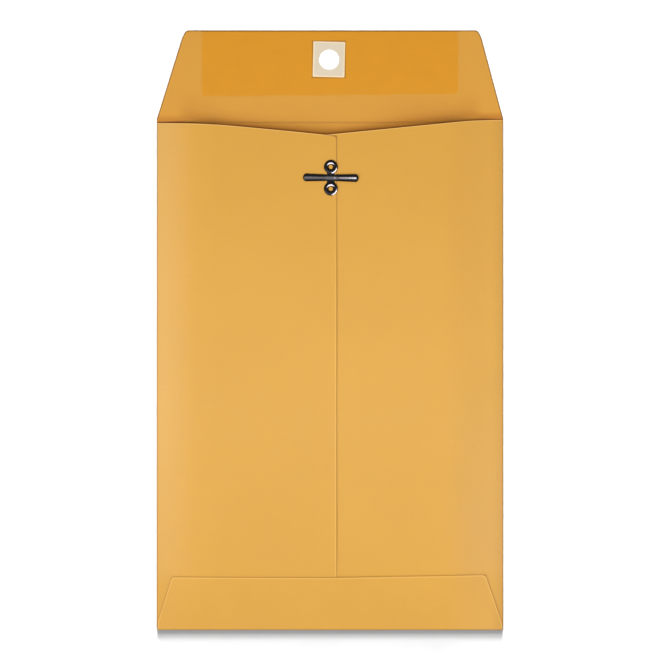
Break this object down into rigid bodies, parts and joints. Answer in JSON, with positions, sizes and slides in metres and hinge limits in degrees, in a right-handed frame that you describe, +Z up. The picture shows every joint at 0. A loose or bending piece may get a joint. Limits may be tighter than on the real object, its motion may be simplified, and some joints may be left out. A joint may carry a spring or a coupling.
{
  "type": "clasp envelope",
  "caption": "Kraft paper envelope with a centre seam, a glued bottom flap, an open gummed closing flap with a patched hole, and a metal clasp with two bending prongs.",
  "frame": {"origin": "middle of the open envelope's outline, on the plane it rests on", "axes": "+Y runs from the bottom fold to the tip of the open flap, +X to the right seen from the clasp side, +Z up out of the back panels"},
  "size_m": [0.165, 0.2858, 0.0063],
  "materials": {
    "kraft": "matte brown kraft paper with fine fibres",
    "glue": "dried glue film",
    "gum": "dried gum, slightly shiny",
    "patch": "off-white paper",
    "clasp_metal": "smooth bright plated steel"
  },
  "bodies": {
    "envelope": {"front_panel": "kraft", "back_panel_left": "kraft", "back_panel_right": "kraft", "bottom_flap": "kraft", "flap_crease": "kraft", "center_seam_glue": "glue", "bottom_glue_left": "glue", "bottom_glue_right": "glue", "clasp_base": "clasp_metal"},
    "flap": {"closure_flap": "kraft", "flap_gum": "gum", "flap_patch": "patch"},
    "prong_left": {"clasp_prong_left": "clasp_metal"},
    "prong_right": {"clasp_prong_right": "clasp_metal"}
  },
  "joints": [
    {"name": "flap_fold", "type": "hinge", "parent": "envelope", "child": "flap", "pos_m": [0, 0.10055, 0.0027], "axis": [1, 0, 0], "range_deg": [0, 176], "deforming": ["flap_crease"]},
    {"name": "prong_left_bend", "type": "hinge", "parent": "envelope", "child": "prong_left", "pos_m": [-0.00172, 0.0724, 0.00544], "axis": [0, 1, 0], "range_deg": [0, 90]},
    {"name": "prong_right_bend", "type": "hinge", "parent": "envelope", "child": "prong_right", "pos_m": [0.00252, 0.0724, 0.00544], "axis": [0, -1, 0], "range_deg": [0, 90]}
  ]
}
